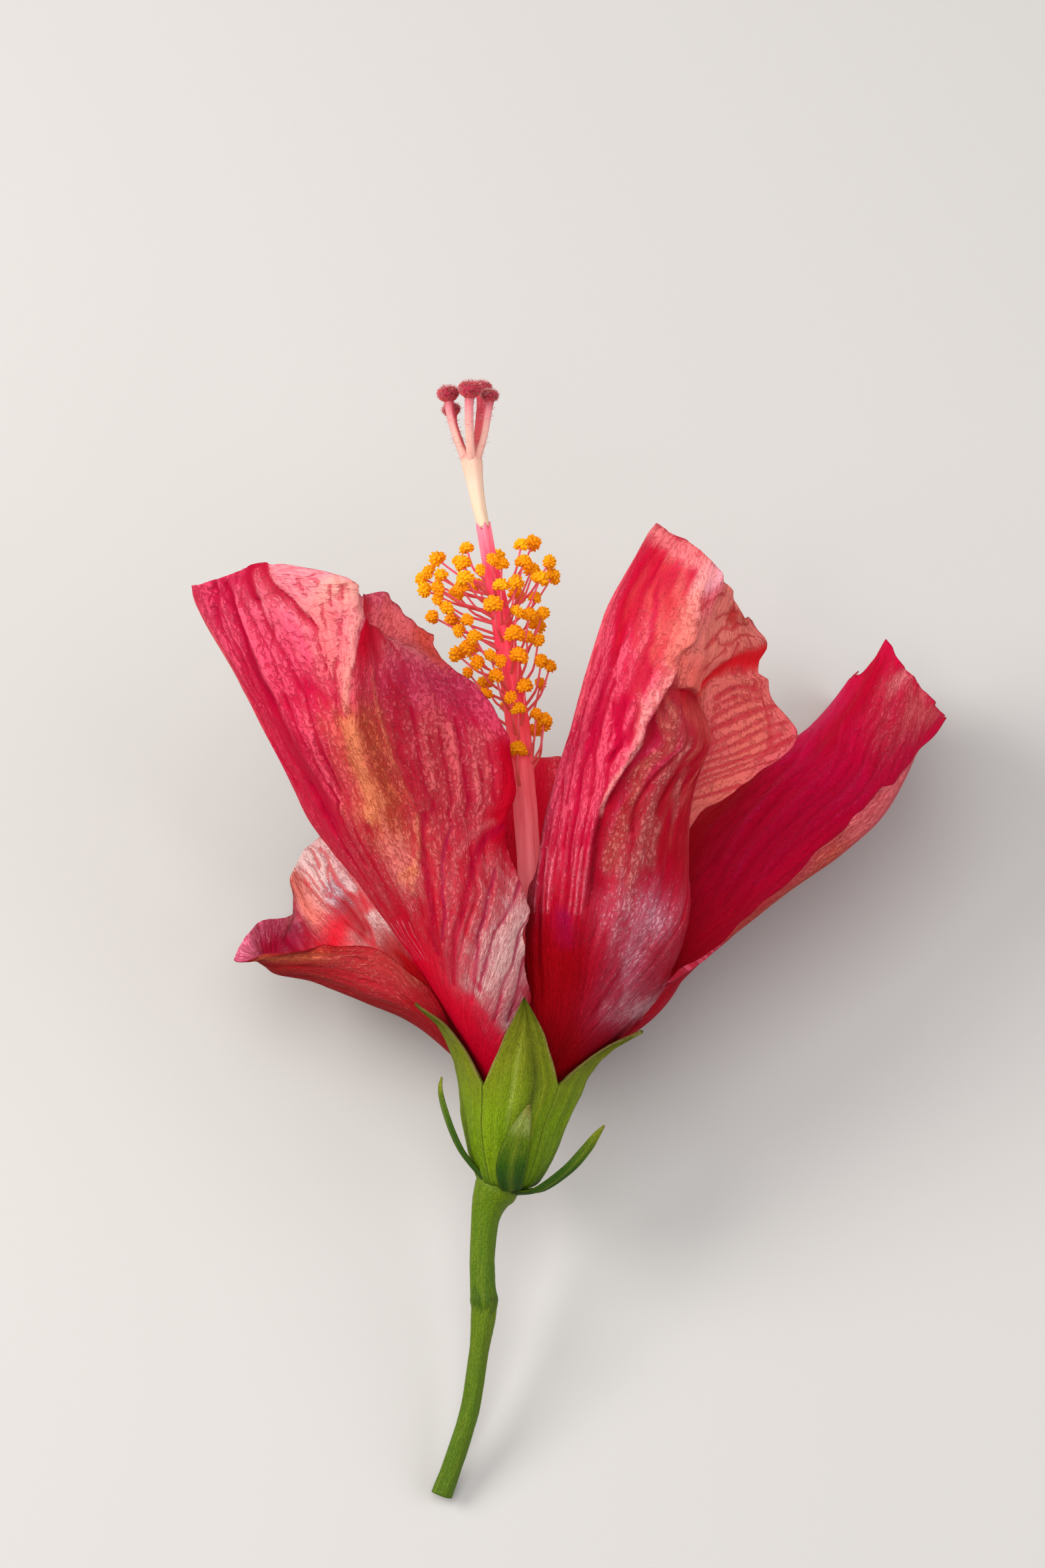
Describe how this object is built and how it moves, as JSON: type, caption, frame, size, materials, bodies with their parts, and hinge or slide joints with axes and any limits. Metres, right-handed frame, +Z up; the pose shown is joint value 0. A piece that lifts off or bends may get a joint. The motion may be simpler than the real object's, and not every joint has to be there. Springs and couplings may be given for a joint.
{
  "type": "hibiscus flower",
  "caption": "Open pink and crimson hibiscus blossom as picked, with its stalk, calyx, petals, staminal column and style, lying on its back petals.",
  "frame": {"origin": "centre of the bounding box's bottom face, on the surface that the flower lies on", "axes": "+Z up from the surface, +Y from the cut end of the stalk towards the stigmas, +X to the flower's right as seen from above"},
  "size_m": [0.1018, 0.1407, 0.0762],
  "materials": {
    "petal": "satin, veined, translucent",
    "green": "satin, ribbed",
    "column": "satin",
    "pollen": "grainy, matt",
    "style": "satin"
  },
  "bodies": {
    "root": {"pedicel": "green", "bract_left": "green", "bract_front": "green", "bract_right": "green", "bract_back_right": "green", "bract_back": "green", "bract_back_left": "green", "calyx": "green", "petal_front_left": "petal", "petal_front_right": "petal", "petal_right": "petal", "petal_back": "petal", "petal_left": "petal", "staminal_column": "column", "stamen_01": "pollen", "stamen_02": "pollen", "stamen_03": "pollen", "stamen_04": "pollen", "stamen_05": "pollen", "stamen_06": "pollen", "stamen_07": "pollen", "stamen_08": "pollen", "stamen_09": "pollen", "stamen_10": "pollen", "stamen_11": "pollen", "stamen_12": "pollen", "stamen_13": "pollen", "stamen_14": "pollen", "stamen_15": "pollen", "stamen_16": "pollen", "stamen_17": "pollen", "stamen_18": "pollen", "stamen_19": "pollen", "stamen_20": "pollen", "stamen_21": "pollen", "stamen_22": "pollen", "stamen_23": "pollen", "stamen_24": "pollen", "stamen_25": "pollen", "stamen_26": "pollen", "stamen_27": "pollen", "stamen_28": "pollen", "stamen_29": "pollen", "stamen_30": "pollen", "stamen_31": "pollen", "stamen_32": "pollen", "stamen_33": "pollen", "stamen_34": "pollen", "stamen_35": "pollen", "stamen_36": "pollen", "stamen_37": "pollen", "stamen_38": "pollen", "stamen_39": "pollen", "stamen_40": "pollen", "stamen_41": "pollen", "stamen_42": "pollen", "stamen_43": "pollen", "stamen_44": "pollen", "stamen_45": "pollen", "style": "style"}
  },
  "joints": []
}
